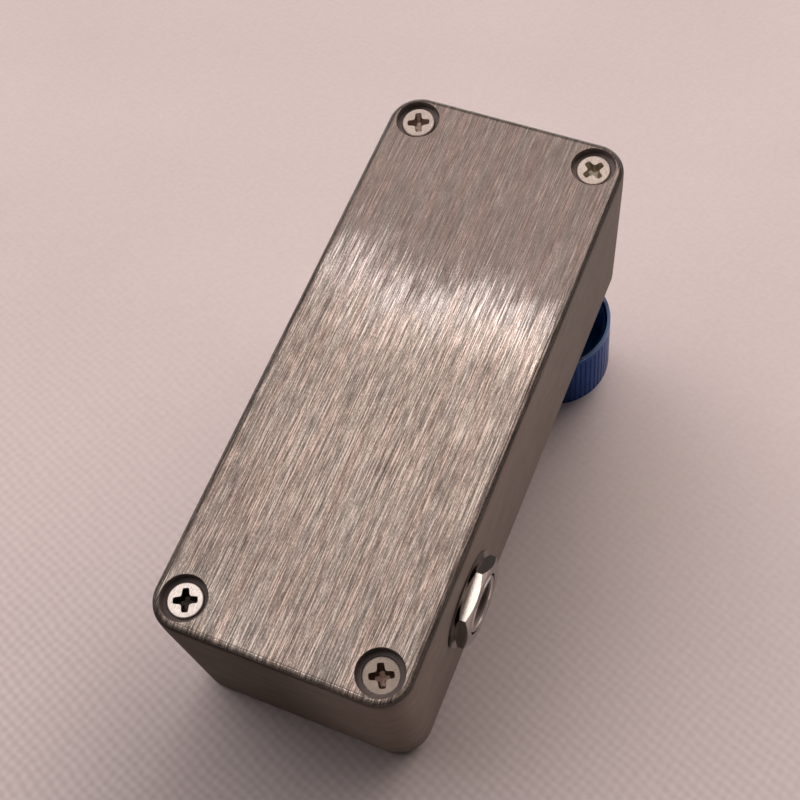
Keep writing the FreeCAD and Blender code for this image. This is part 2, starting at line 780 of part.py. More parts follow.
def make_jack(name, side, x, y, turn):
    """An open phone jack: its leg, springs and lugs lie behind the wall, towards the face."""
    frame = turned(name + "_jack_frame", [
        ("jack_bore", "-jack_sleeve_end"), ("jack_sleeve", "-jack_sleeve_end"),
        ("jack_sleeve", "-jack_flange_thick"), ("jack_flange", "-jack_flange_thick"),
        ("jack_flange", "0"), ("jack_thread", "0"), ("jack_thread", "jack_front - jack_edge"),
        ("jack_thread - jack_edge", "jack_front"), ("jack_bore + jack_edge", "jack_front"),
        ("jack_bore", "jack_front - jack_edge"),
    ])
    slab(frame, "leg_near", "leg_far", "-leg_half", "leg_half", "jack_flange_thick / 2",
         "leg_end")
    outer, inner = ("lug_reach", "leg_half - past") if side > 0 else ("-leg_half + past", "-lug_reach")
    slab(frame, "leg_near", "leg_far", inner, outer, "leg_end - lug_long", "leg_end")
    rivets = [("0", "rivet_one"), ("0", "rivet_two")]
    through(frame, "rivet_hole", rivets, "leg_near - past", "plate_cut")
    hole_at = signed(side, "(lug_reach - lug_long / 2)")
    through(frame, "lug_hole", [(hole_at, "leg_end - lug_long / 2")],
            "leg_near - past", "plate_cut")

    wafers = new_body(name + "_jack_wafers")
    under = "leg_far"
    over = "leg_far + wafer_thick + leaf_thick"
    for low in (under, over):
        slab(wafers, low, f"{low} + wafer_thick", "-wafer_half", "wafer_half",
             "wafer_near", "wafer_end")
    through(wafers, "rivet_hole", rivets, "leg_far - past", "stack_cut")

    lug = new_body(name + "_jack_tip_lug")
    leaf = "leg_far + wafer_thick"
    slab(lug, leaf, f"{leaf} + leaf_thick", "-lug_half", "lug_half", "wafer_near",
         "leaf_start - leaf_gap")
    outer, inner = ("tab_reach", "past") if side > 0 else ("-past", "-tab_reach")
    slab(lug, leaf, f"{leaf} + leaf_thick", inner, outer, "tab_near", "tab_end")
    through(lug, "rivet_hole", rivets, f"{leaf} - past", "plate_cut")
    tab_hole = signed(side, "(tab_reach - tab_hole_in)")
    through(lug, "lug_hole", [(tab_hole, "(tab_near + tab_end) / 2")], f"{leaf} - past", "plate_cut")

    stack_top = "leg_far + wafer_thick * 2 + leaf_thick"
    pair = []
    for number, (_, depth) in enumerate(rivets, start=1):
        rivet = turned(f"{name}_rivet_{number}", [
            ("0", "leg_near - rivet_cap"), ("rivet_head", "leg_near - rivet_cap"),
            ("rivet_head", "leg_near"), ("rivet_radius", "leg_near"),
            ("rivet_radius", stack_top), ("rivet_head", stack_top),
            ("rivet_head", f"{stack_top} + rivet_cap"), ("0", f"{stack_top} + rivet_cap"),
        ])
        place_x = f"{x} + {depth}" if turn is TO_LEFT else f"{x} - {depth}"
        pair.append(put(rivet, place_x, y, "jack_height"))

    spring = new_body(name + "_jack_tip_spring")
    outside = f"{leaf} + leaf_thick"
    Drawing(spring, "XZ_Plane", z="-leaf_half").polygon([
        (leaf, "-leaf_start"), (outside, "-leaf_start"),
        (outside, "-leaf_bend"), ("touch_radius + leaf_thick", "-leaf_touch"),
        ("tail_radius + leaf_thick", "-leaf_end"), ("tail_radius", "-leaf_end"),
        ("touch_radius", "-leaf_touch"), (leaf, "-leaf_bend + bend_in"),
    ]).pad("leaf_half * 2")
    for body in (frame, wafers, lug, spring):
        keep(put(body, x, y, "jack_height", turn))
    group(name + "_jack_rivets", pair)


def make_jack_fasteners():
    nuts, washers = [], []
    spin = FreeCAD.Rotation(FreeCAD.Vector(0, 0, 1), 90 + size("jack_nut_turn"))
    places = [("-cavity_x", "-output_y", TO_LEFT), ("cavity_x", "-input_y", TO_RIGHT)]
    for number, (x, y, turn) in enumerate(places, start=1):
        washer = ring(f"jack_washer_{number}", "jack_washer_hole", "jack_washer_radius",
                      "jack_washer_low", "jack_washer_thick")
        nut = hex_nut(f"jack_nut_{number}", "jack_nut_flat", "jack_nut_bore",
                      "(jack_washer_low + jack_washer_thick)", "jack_nut_thick")
        washers.append(put(washer, x, y, "jack_height", turn))
        nuts.append(put(nut, x, y, "jack_height", turn.multiply(spin)))
    group("jack_washers", washers)
    group("jack_nuts", nuts)


def make_power_socket():
    """A round socket with a centre pin and a leaf contact in a slot on its upper side."""
    housing = turned("power_socket_housing", [
        ("power_pin_hole", "-barrel_back"), ("barrel_radius", "-barrel_back"),
        ("barrel_radius", "flange_back"), ("flange_radius", "flange_back"),
        ("flange_radius", "flange_front - socket_edge"),
        ("flange_radius - socket_edge", "flange_front"),
        ("socket_radius + socket_edge", "flange_front"),
        ("socket_radius", "flange_front - socket_edge"), ("socket_radius", "-barrel_floor"),
        ("power_pin_hole", "-barrel_floor"),
    ])
    slot = Drawing(housing, z="slot_front")
    slot.rectangle("-slot_half", "slot_half", "-barrel_radius - past", "-socket_radius + past / 2")
    slot.pocket("barrel_back + slot_front + gap")
    pin = turned("power_socket_pin", [
        ("0", "-power_tag_root"), ("power_tag_half", "-power_tag_root"),
        ("power_tag_half", "-barrel_back"), ("power_pin_tail", "-barrel_back"),
        ("power_pin_tail", "-barrel_floor"), ("power_pin", "-barrel_floor"),
        ("power_pin", "power_pin_front - turned_edge"), ("power_pin - turned_edge", "power_pin_front"),
        ("0", "power_pin_front"),
    ])
    Drawing(pin, z="-power_tag_end + power_tag_long").rectangle(
        "-power_tag_thin", "power_tag_thin", "-power_tag_half + gap", "power_tag_half - gap"
    ).pad("power_tag_long", backwards=True)
    nut = hex_nut("power_socket_nut", "power_nut_flat", "power_nut_bore", "(-power_nut_thick)",
                  "power_nut_thick")
    contact = new_body("power_socket_contact")
    Drawing(contact, "YZ_Plane", z="-contact_half").polygon([
        ("-contact_radius", "-contact_start"), ("-contact_radius", "-contact_bend"),
        ("-contact_inner", "-contact_touch"), ("-contact_outer", "-contact_tip"),
        ("-contact_outer - leaf_thick", "-contact_tip"),
        ("-contact_inner - leaf_thick", "-contact_touch"),
        ("-contact_radius - leaf_thick", "-contact_bend - bend_in"),
        ("-contact_radius - leaf_thick", "-contact_start"),
    ]).pad("contact_half * 2")
    lug = new_body("power_socket_lug")
    Drawing(lug, "YZ_Plane", z="-contact_half").polygon([
        ("-contact_radius", "-contact_start - leaf_gap"), ("-contact_radius", "-lug_back"),
        ("-(board_low - power_height)", "-lug_back"),
        ("-(board_low - power_height)", "-lug_back + leaf_thick"),
        ("-contact_radius - leaf_thick", "-lug_back + leaf_thick"),
        ("-contact_radius - leaf_thick", "-contact_start - leaf_gap"),
    ]).pad("contact_half * 2")
    for body in (housing, pin, nut, contact, lug):
        keep(put(body, "0", "cavity_y", "power_height", TO_FAR))


def make_indicator():
    top = "case_height + bezel_high"
    bezel = turned("lamp_bezel", [
        ("bezel_bore", "bezel_low"), ("bezel_barrel", "bezel_low"),
        ("bezel_barrel", "case_height"), ("bezel_radius", "case_height"),
        ("bezel_radius", f"{top} - bezel_edge"), ("bezel_radius - bezel_edge", top),
        ("bezel_bore + bezel_mouth", top), ("bezel_bore", f"{top} - bezel_mouth"),
    ])
    nut = hex_nut("lamp_bezel_nut", "bezel_nut_flat", "(bezel_barrel + thread_gap)",
                  "(case_height - face_thick - bezel_nut_thick)", "bezel_nut_thick")
    lamp = turned("indicator_lamp", [
        ("0", "lamp_low"), ("lamp_rim", "lamp_low"), ("lamp_rim", "lamp_rim_top"),
        ("lamp_radius", "lamp_rim_top"), ("lamp_radius", "lamp_top"), ("0", "lamp_top"),
    ])
    dress(lamp, "Fillet", "Radius", "lamp_dome", level(size("lamp_top")))
    leads = new_body("lamp_leads")
    pair = Drawing(leads, z="pin_low")
    pair.circle("-lamp_pitch", "0", "lamp_lead").circle("lamp_pitch", "0", "lamp_lead")
    pair.pad("lamp_low - pin_low")
    for body in (bezel, nut, lamp, leads):
        keep(put(body, "0", "lamp_y"))


def valve_lead_places():
    """Where the valve's row of five leads comes up through the board, along Y."""
    return [f"valve_y + {number} * valve_lead_pitch" for number in (-2, -1, 0, 1, 2)]


def make_circuit_board():
    body = new_body("circuit_board")
    outline = Drawing(body, z="board_low")
    outline.rectangle("-board_half", "board_half", "board_near", "board_far")
    outline.pad("board_top - board_low")
    holes = Drawing(body, z="board_top")
    for sign in (-1, 1):
        for number in (-1, 0, 1):
            holes.circle(f"{sign} * knob_x + {number} * pin_pitch", "knob_y - pin_row",
                         "pin_hole")
        holes.circle(f"{sign} * lamp_pitch", "lamp_y", "lead_hole")
        for step in (-1, 1):
            holes.circle(f"{sign} * can_lead_x", f"can_y + {step} * can_lead_pitch", "lead_hole")
    for place in valve_lead_places():
        holes.circle("valve_lead_x", place, "lead_hole")
    holes.pocket("board_top - board_low")
    keep(body)


def make_valve():
    """A glass subminiature valve along X with its electrodes, leads and slings."""
    glass = turned("valve_glass", [
        ("0", "-glass_left"), ("glass_radius", "-glass_left"), ("glass_radius", "glass_right"),
        ("0", "glass_right"),
    ])
    dress(glass, "Fillet", "Radius", "glass_dome", level(-size("glass_left")))
    dress(glass, "Fillet", "Radius", "glass_thick", level(size("glass_right")))
    inside = "glass_radius - glass_thick"
    Drawing(glass, "XZ_Plane").polygon([
        ("0", "-glass_left + glass_thick"), (f"{inside} - glass_dome * dome_flat",
                                             "-glass_left + glass_thick"),
        (f"{inside} - glass_dome * dome_side", "-glass_left + glass_thick + glass_dome * dome_rise"),
        (inside, "-glass_left + glass_dome"), (inside, "glass_right - glass_base"),
        ("0", "glass_right - glass_base"),
    ]).groove()
    Drawing(glass, "XZ_Plane").polygon([
        ("0", "-glass_left + glass_thick / 2"), ("glass_tip", "-glass_left + glass_thick / 2"),
        ("glass_tip / 3", "-glass_left - glass_tip_long"), ("0", "-glass_left - glass_tip_long"),
    ]).turn()
    anode = new_body("valve_anode")
    Drawing(anode, z="-anode_left").rectangle(
        "-anode_half_x", "anode_half_x", "-anode_half_y", "anode_half_y"
    ).rectangle(
        "-anode_half_x + anode_thick", "anode_half_x - anode_thick",
        "-anode_half_y + anode_thick", "anode_half_y - anode_thick"
    ).pad("anode_left + anode_right")
    spacers = []
    for number, low in ((1, "(-anode_left - spacer_thick)"), (2, "anode_right")):
        spacers.append(put(ring(f"valve_spacer_{number}", "cathode_radius + cathode_gap",
                                "spacer_radius", low, "spacer_thick"),
                           "0", "valve_y", "valve_z", ALONG_X))
    cathode = turned("valve_cathode", [
        ("0", "-anode_left - cathode_past"), ("cathode_radius", "-anode_left - cathode_past"),
        ("cathode_radius", "anode_right + cathode_past"), ("0", "anode_right + cathode_past"),
    ])
    grid = new_body("valve_grid")
    wire = Drawing(grid, "XZ_Plane").circle("grid_radius", "-anode_left + grid_inset", "grid_wire")
    helix = wire.feature("AdditiveHelix")
    helix.ReferenceAxis = (wire.sketch, ["V_Axis"])
    helix.Mode = 0
    bind(helix, "Pitch", "grid_pitch")
    bind(helix, "Height", "grid_high")
    cushions = new_body("valve_cushions")
    straps = new_body("valve_straps")
    for low in ("-cushion_left", "cushion_right"):
        band = Drawing(cushions, z=low).circle("0", "0", "cushion_inner")
        band.circle("0", "0", "cushion_outer").pad("cushion_wide")
        strap_low = f"{low} + (cushion_wide - strap_wide) / 2"
        loop = Drawing(straps, z=strap_low).circle("0", "0", "strap_inner")
        loop.circle("0", "0", "strap_outer").pad("strap_wide")
        foot = Drawing(straps, z=strap_low)
        foot.rectangle("-strap_foot", "-strap_inner - strap_join", "-strap_half", "strap_half")
        foot.pad("strap_wide")
    for body in (glass, anode, cathode, grid, cushions, straps):
        keep(put(body, "0", "valve_y", "valve_z", ALONG_X))
    group("valve_spacers", spacers)


def rounded_path(points):
    """A path through the points: straight runs joined by arcs as large as the runs allow."""
    edges = []
    radii = []
    start = points[0]
    for before, corner, after in zip(points, points[1:], points[2:]):
        back, ahead = before - corner, after - corner
        half_turn = (math.pi - back.getAngle(ahead)) / 2
        cut = 0.45 * min(back.Length, ahead.Length)
        radii.append(cut / math.tan(half_turn))
        first = corner + FreeCAD.Vector(back).normalize() * cut
        last = corner + FreeCAD.Vector(ahead).normalize() * cut
        inward = (FreeCAD.Vector(back).normalize() + FreeCAD.Vector(ahead).normalize()).normalize()
        reach = radii[-1] / math.cos(half_turn) - radii[-1]
        edges.append(Part.LineSegment(start, first).toShape())
        edges.append(Part.Arc(first, corner + inward * reach, last).toShape())
        start = last
    edges.append(Part.LineSegment(start, points[-1]).toShape())
    return Part.Wire(edges), min(radii)


def wires(label, radius, routes):
    """Round wires along routes of points, all in one node."""
    solids = []
    for route in routes:
        points = [FreeCAD.Vector(*point) for point in route]
        path, tightest = rounded_path(points)
        ends = Part.Circle(points[0], points[1] - points[0], radius).toShape()
        solid = path.makePipeShell([Part.Wire([ends])], True, False)
        expected = math.pi * radius ** 2 * path.Length
        print(f"{label}: length {path.Length:.1f}, tightest bend {tightest:.1f}, "
              f"volume {solid.Volume / expected:.3f} of its section times its length")
        solids.append(solid)
    item = document.addObject("Part::Feature", label)
    item.Label = label
    item.Shape = Part.Compound(solids) if len(solids) > 1 else solids[0]
    return keep(item)


def make_valve_leads():
    right, low, up_x = size("glass_right"), size("valve_z"), size("valve_lead_x")
    top = size("board_top") + 0.3
    routes = []
    for step in (-2, -1, 0, 1, 2):
        y = size("valve_y") + step * size("valve_lead_pitch")
        routes.append([(right, y, low), (up_x, y, low), (up_x, y, top)])
    wires("valve_leads", size("valve_lead"), routes)


def make_capacitors():
    cans = []
    for number, turn in ((1, ALONG_X), (2, TO_LEFT)):
        can = turned(f"filter_can_{number}", [
            ("0", "can_near"), ("can_radius", "can_near"), ("can_radius", "can_near + 1"),
            ("can_radius - can_groove", "can_near + 1.3"),
            ("can_radius - can_groove", "can_near + 1.7"), ("can_radius", "can_near + 2"),
            ("can_radius", "can_near + can_long - 0.3"),
            ("can_radius - 0.3", "can_near + can_long"), ("0", "can_near + can_long"),
        ])
        cans.append(put(can, "0", "can_y", "can_z", turn))
    group("filter_capacitors", cans)
    routes = []
    for sign in (-1, 1):
        for step in (-1, 1):
            y = size("can_y") + step * size("can_lead_pitch")
            start, bend, z = sign * size("can_near"), sign * size("can_lead_x"), size("can_z")
            routes.append([(start, y, z), (bend, y, z), (bend, y, size("board_top") + 0.3)])
    wires("filter_capacitor_leads", size("can_lead"), routes)
    films = new_body("coupling_capacitors")
    outlines = Drawing(films, z="board_top")
    for number in range(3):
        middle = f"film_y + {number} * film_pitch"
        outlines.rectangle("-film_x - film_long / 2", "-film_x + film_long / 2",
                           f"{middle} - film_wide / 2", f"{middle} + film_wide / 2")
    outlines.pad("film_high")
    keep(films)


def make_chip_and_resistors():
    chip = new_body("supply_chip")
    Drawing(chip, z="chip_low").rectangle(
        "-chip_long / 2", "chip_long / 2", "-chip_wide / 2", "chip_wide / 2"
    ).pad("chip_top - chip_low")
    legs = Drawing(chip, z="board_top")
    for number in (-1.5, -0.5, 0.5, 1.5):
        middle = f"{number} * chip_leg_pitch"
        legs.rectangle(f"{middle} - chip_leg_half", f"{middle} + chip_leg_half",
                       "-chip_leg_reach", "chip_leg_reach")
    legs.pad("chip_leg_top - board_top")
    keep(put(chip, "chip_x", "chip_y"))
    resistors = new_body("resistors")
    outlines = Drawing(resistors, z="board_top")
    for column in range(3):
        for row in range(3):
            left = f"resistor_x + {column} * resistor_step_x"
            low = f"resistor_y + {row} * resistor_step_y"
            outlines.rectangle(left, f"{left} + resistor_long", low, f"{low} + resistor_wide")
    outlines.pad("resistor_high")
    keep(resistors)
    diode = new_body("supply_diode")
    Drawing(diode, z="board_top").rectangle(
        "-diode_x - diode_long / 2", "-diode_x + diode_long / 2",
        "diode_y - diode_wide / 2", "diode_y + diode_wide / 2"
    ).pad("diode_high")
    keep(diode)


def make_leads():
    """Wires from the jacks' lugs to the top of the board, and from the power pin up to it."""
    radius = size("wire_radius")
    tip = size("jack_height") + size("leg_far") + size("wafer_thick") + size("leaf_thick")
    tip += radius
    sleeve = size("jack_height") + size("leg_far") + radius
    board = size("board_top") + radius
    output, feed = -size("output_y"), -size("input_y")
    wires("output_leads", radius, [
        [(-12.2, output + 5.6, tip), (-12.6, -11.0, 23.4), (-12.4, -2.0, 23.8),
         (-12.0, 5.0, 22.6), (-11.6, 7.0, board)],
        [(-6.2, output + 6.6, sleeve), (-8.9, -12.6, 22.4), (-9.5, -4.0, 23.2),
         (-8.2, 3.0, 22.9), (-6.6, 6.6, board)],
    ])
    wires("input_leads", radius, [
        [(12.2, feed + 5.0, tip), (12.4, 4.0, 23.0), (12.6, 7.0, board)],
        [(6.2, feed + 6.4, sleeve), (5.6, 4.2, 22.9), (4.2, 7.4, board)],
    ])
    x = size("power_tag_thin") + radius
    tag_end = size("cavity_y") - size("power_tag_end")
    wires("power_lead", radius, [
        [(x, tag_end + 1.6, 12.0), (x, 29.4, 12.0), (x, 27.2, 14.4), (x, 27.2, size("board_low"))],
    ])


make_enclosure()
make_base_lid()
make_lid_screws()
for control, control_x in (("level", "-knob_x"), ("gain", "knob_x")):
    make_knob(control + "_knob", control_x)
    make_set_screw(control + "_set_screw", control_x)
    make_pot(control, control_x)
make_pot_fasteners()
make_jack("output", 1, "-cavity_x", "-output_y", TO_LEFT)
make_jack("input", -1, "cavity_x", "-input_y", TO_RIGHT)
make_jack_fasteners()
make_power_socket()
make_indicator()
make_circuit_board()
make_valve()
make_valve_leads()
make_capacitors()
make_chip_and_resistors()
make_leads()
document.recompute()

for item in document.Objects:
    if "Invalid" in item.State or "Error" in item.State:
        raise RuntimeError(f"{item.Name} ({item.Label}) failed: {item.State}")
os.makedirs("parts", exist_ok=True)
for item in nodes:
    shape = item.Shape
    if shape.isNull() or not shape.isValid():
        raise RuntimeError(f"{item.Label} has no valid shape")
    shape.exportStep(os.path.join("parts", item.Label + ".step"))
    print(f"{item.Label}: {len(shape.Solids)} solid, {shape.Volume:.1f} mm3")
print(len(nodes), "nodes")
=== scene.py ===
"""The looks of a small die-cast tube buffer amplifier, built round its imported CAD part.

The row stands on its lid with the knobs up. The photograph was taken of the same object lying face
down, so its camera is under the table here, and looks up at the lid.
"""

import json
import math

import bpy
from mathutils import Matrix, Vector


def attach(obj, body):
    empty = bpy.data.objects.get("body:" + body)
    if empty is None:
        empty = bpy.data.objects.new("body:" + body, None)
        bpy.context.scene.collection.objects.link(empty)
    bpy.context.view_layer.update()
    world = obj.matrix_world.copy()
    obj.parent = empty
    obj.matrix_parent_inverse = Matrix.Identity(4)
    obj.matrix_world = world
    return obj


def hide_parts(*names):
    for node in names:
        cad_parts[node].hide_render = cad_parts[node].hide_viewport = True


MM = 0.001
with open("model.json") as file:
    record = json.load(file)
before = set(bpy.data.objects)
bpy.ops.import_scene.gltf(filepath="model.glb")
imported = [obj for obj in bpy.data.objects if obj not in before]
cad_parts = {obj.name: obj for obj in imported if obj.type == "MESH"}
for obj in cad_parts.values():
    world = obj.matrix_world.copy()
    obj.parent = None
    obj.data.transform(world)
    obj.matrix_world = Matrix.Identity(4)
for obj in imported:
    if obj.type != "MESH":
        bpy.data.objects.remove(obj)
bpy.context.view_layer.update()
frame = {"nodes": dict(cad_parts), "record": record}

# Camera: fitted to the photograph's screw centres and edges. Lens and sensor are in millimetres.
EYE = Vector((-53.57, -80.98, -178.85)) * MM
AHEAD = Vector((0.2574, 0.3794, 0.8887))
UP = Vector((0.2991, 0.8432, -0.4467))
LENS = 63.54
SENSOR = 36.0
NEAREST = 0.01
FARTHEST = 20.0


def camera():
    data = bpy.data.cameras.new("photo_camera")
    data.lens = LENS
    data.sensor_width = SENSOR
    data.clip_start = NEAREST
    data.clip_end = FARTHEST
    made = bpy.data.objects.new("photo_camera", data)
    bpy.context.collection.objects.link(made)
    back = -AHEAD.normalized()
    right = AHEAD.cross(UP).normalized()
    turn = Matrix((right, back.cross(right), back)).transposed()
    made.matrix_world = Matrix.Translation(EYE) @ turn.to_4x4()
    bpy.context.scene.camera = made


class Nodes:
    """A shader put together node by node."""

    def __init__(self, owner, output):
        owner.use_nodes = True
        self.tree = owner.node_tree
        self.tree.nodes.clear()
        self.output = self.add(output)
        self._place = None

    def add(self, kind, **settings):
        node = self.tree.nodes.new(kind)
        for key, value in settings.items():
            setattr(node, key, value)
        return node

    def feed(self, value, socket):
        if isinstance(value, bpy.types.NodeSocket):
            self.tree.links.new(value, socket)
        elif socket.type == "RGBA" and len(value) == 3:
            socket.default_value = (*value, 1.0)
        else:
            socket.default_value = value

    def vector(self, operation, first, second=None, scale=None):
        node = self.add("ShaderNodeVectorMath", operation=operation)
        self.feed(first, node.inputs[0])
        if second is not None:
            self.feed(second, node.inputs[1])
        if scale is not None:
            self.feed(scale, node.inputs["Scale"])
        return node.outputs["Value" if operation in ("LENGTH", "DOT_PRODUCT") else "Vector"]

    def math(self, operation, *values):
        node = self.add("ShaderNodeMath", operation=operation)
        for socket, value in zip(node.inputs, values):
            self.feed(value, socket)
        return node.outputs[0]

    def times(self, first, *others):
        for other in others:
            first = self.math("MULTIPLY", first, other)
        return first

    def split(self, vector):
        node = self.add("ShaderNodeSeparateXYZ")
        self.feed(vector, node.inputs[0])
        return node.outputs[:]

    def join(self, x, y, z):
        node = self.add("ShaderNodeCombineXYZ")
        for socket, value in zip(node.inputs, (x, y, z)):
            self.feed(value, socket)
        return node.outputs[0]

    def away(self, first, second, middle):
        """How far a pair of coordinates is from a middle pair."""
        steps = [self.math("SUBTRACT", value, at) for value, at in zip((first, second), middle)]
        return self.vector("LENGTH", self.join(*steps, 0.0))

    def span(self, value, low, high, to_low=0.0, to_high=1.0, smooth=True):
        """value taken from low..high to to_low..to_high, and held there."""
        kind = "SMOOTHSTEP" if smooth else "LINEAR"
        node = self.add("ShaderNodeMapRange", interpolation_type=kind)
        for socket, item in zip(node.inputs, (value, low, high, to_low, to_high)):
            self.feed(item, socket)
        return node.outputs[0]

    def place(self):
        """Where a point is, in millimetres, in its object's own frame. facing is set to its normal."""
        if self._place is None:
            spot = self.add("ShaderNodeTexCoord")
            self._place = self.vector("SCALE", spot.outputs["Object"], scale=1 / MM)
            self.facing = spot.outputs["Normal"]
        return self._place

    def noise(self, scale, detail=2.0, place=None, seed=0.0):
        """Noise with so many cells per millimetre, one number or one for each axis."""
        spot = self.place() if place is None else place
        if isinstance(scale, tuple):
            spot, scale = self.vector("MULTIPLY", spot, scale), 1.0
        node = self.add("ShaderNodeTexNoise", noise_dimensions="4D")
        self.feed(spot, node.inputs["Vector"])
        self.feed(seed, node.inputs["W"])
        self.feed(float(scale), node.inputs["Scale"])
        self.feed(detail, node.inputs["Detail"])
        self.feed(0.5, node.inputs["Roughness"])
        return node.outputs[0]

    def vary(self, noise, low, high):
        """Noise as a value that mostly stays between low and high."""
        return self.span(noise, 0.3, 0.7, low, high)

    def mix(self, share, first, second):
        """Two colours mixed."""
        node = self.add("ShaderNodeMix", data_type="RGBA")
        self.feed(share, node.inputs[0])
        self.feed(first, node.inputs[6])
        self.feed(second, node.inputs[7])
        return node.outputs[2]

    def blend(self, share, first, second):
        """Two numbers mixed."""
        node = self.add("ShaderNodeMix", data_type="FLOAT")
        self.feed(share, node.inputs[0])
        self.feed(first, node.inputs[2])
        self.feed(second, node.inputs[3])
        return node.outputs[0]


class Paint(Nodes):
    """One procedural material."""

    def __init__(self, name):
        self.material = bpy.data.materials.new(name)
        super().__init__(self.material, "ShaderNodeOutputMaterial")

    def bump(self, height, deep):
        """Relief whose height of 1 stands deep millimetres high."""
        node = self.add("ShaderNodeBump")
        self.feed(1.0, node.inputs["Strength"])
        self.feed(deep * MM, node.inputs["Distance"])
        self.feed(height, node.inputs["Height"])
        return node.outputs[0]

    def surface(self, color, roughness, metallic, normal, tangent=None, **plain):
        node = self.add("ShaderNodeBsdfPrincipled")
        self.feed(color, node.inputs["Base Color"])
        self.feed(roughness, node.inputs["Roughness"])
        self.feed(metallic, node.inputs["Metallic"])
        self.feed(normal, node.inputs["Normal"])
        if tangent is not None:
            self.feed(tangent, node.inputs["Tangent"])
        for key, value in plain.items():
            title = key.replace("_", " ").title().replace("Ior", "IOR")
            self.feed(value, node.inputs[title])
        self.feed(node.outputs[0], self.output.inputs["Surface"])
        return self.material

    def matt(self, color, normal=None):
        node = self.add("ShaderNodeBsdfDiffuse")
        self.feed(color, node.inputs["Color"])
        if normal is not None:
            self.feed(normal, node.inputs["Normal"])
        return node.outputs[0]


def worn(name, color, roughness, metallic=0.0, tone=0.12, relief=0.004, **plain):
    """A plain finish with a little mottling in its colour and shine, and fine relief."""
    paint = Paint(name)
    cloud = paint.noise(2.0, detail=4.0)
    fine = paint.noise(18.0, detail=3.0, seed=3.0)
    dark = tuple(c * (1 - tone) for c in color)
    light = tuple(min(c * (1 + tone), 1.0) for c in color)
    shade = paint.mix(paint.vary(cloud, 0.0, 1.0), dark, light)
    rough = paint.vary(fine, roughness * 0.85, min(roughness * 1.15, 1.0))
    return paint.surface(shade, rough, metallic, paint.bump(fine, relief), **plain)


# Brushed aluminium of the box and its lid, which varies between two colours.
COOL_METAL = (0.42, 0.39, 0.362)
WARM_METAL = (0.445, 0.383, 0.35)
FLAT_SHINE = (0.11, 0.14)
WALL_SHINE = 0.45
# Its scratches: waves per millimetre across and along them, how much they count, and a seed.
SCRATCHES = (
    (6.0, 2.4, 0.45, 3.0),
    (5.6, 0.36, 0.8, 0.0),
    (5.0, 0.1, 0.7, 11.0),
    (6.2, 0.035, 0.55, 29.0),
)
# How strong they are on the lid before and behind the bright band, and on the walls.
NEAR_DEEP = 3.6
FAR_DEEP = 1.75
WALL_DEEP = 0.8
BRIGHTEST = 2.0
# How much they tilt the surface across and along themselves, and how hollow the lid is lengthwise.
TILT_ACROSS = 0.4
TILT_ALONG = 0.032
LID_HOLLOW = 0.0056
# Painted shade on the walls: how bright the side walls are from their near ends on, and the near end
# wall from the right on.
SIDE_WALL_SHADE = (0.66, 0.52)
END_WALL_SHADE = (0.46, 0.25)
# The warm tint of the painted shade on the side walls and on the near end wall.
SIDE_SHADE_TINT = (1.0, 0.965, 0.93)
END_SHADE_TINT = (1.0, 0.92, 0.86)
# How much darker the rounded rims between the lid and the walls are.
RIM_DARKER = 0.45
# The wells round the lid screws: matt and dark, partly their unbrushed cast floor and partly painted
# shade in the recess.
WELL_AT = (14.55, 42.2)
WELL_RADIUS = 3.5
WELL_END = 3.0
WELL_SHADE_COLOR = (0.15, 0.13, 0.121)


def streaks(paint, flat, across, along, seed):
    """Noise drawn out along the box where flat is 1, and level round its walls where it is 0."""
    on_flat = paint.noise((across, along, along), 1.0, seed=seed)
    on_wall = paint.noise((along, along, across), 1.0, seed=seed + 5.0)
    return paint.math("SUBTRACT", paint.blend(flat, on_wall, on_flat), 0.5)


def scratch_tone(paint, flat, upright, y):
    """How bright the scratches are beside an even surface."""
    scratch = 0.0
    for across, along, weight, seed in SCRATCHES:
        streak = streaks(paint, flat, across, along, seed)
        scratch = paint.math("MULTIPLY_ADD", streak, weight, scratch)
    deep = paint.blend(upright, paint.span(y, 12.0, 22.0, NEAR_DEEP, FAR_DEEP), WALL_DEEP)
    tone = paint.math("EXPONENT", paint.math("MULTIPLY", scratch, deep))
    return paint.math("MINIMUM", tone, BRIGHTEST)


def painted_place_shade(paint, x, y, steep, upright, near_end):
    """How bright the metal is by its place: painted light and shade on the lid and on each wall, and
    darker on the rims between.
    """
    # Painted shade along the lid's +X side up to y = 18 mm, and painted light on the lid beyond y = 25
    # mm.
    left_edge = paint.span(x, 8.0, 17.0, 1.0, 0.9)
    lid = paint.blend(paint.span(y, 25.0, 18.0), 1.04, left_edge)
    # Painted shade on the walls: darker towards the far end, and the near end wall darker towards +X.
    wall = paint.span(y, -15.0, 40.0, *SIDE_WALL_SHADE)
    wall = paint.blend(near_end, wall, paint.span(x, -12.0, 2.0, *END_WALL_SHADE))
    # The rounded rims between the lid and the walls, made darker.
    rim = paint.times(paint.span(steep, 0.93, 0.82), paint.span(steep, 0.35, 0.55))
    return paint.times(paint.blend(upright, lid, wall), paint.span(rim, 0.0, 1.0, 1.0, RIM_DARKER))


def in_wells(paint, x, y, z):
    """1 in the lid screws' wells, 0 elsewhere."""
    off = paint.away(paint.math("ABSOLUTE", x), paint.math("ABSOLUTE", y), WELL_AT)
    inside = paint.span(off, WELL_RADIUS, WELL_RADIUS - 0.06)
    return paint.times(inside, paint.span(z, 0.03, 0.1), paint.span(z, WELL_END, WELL_END - 0.1))


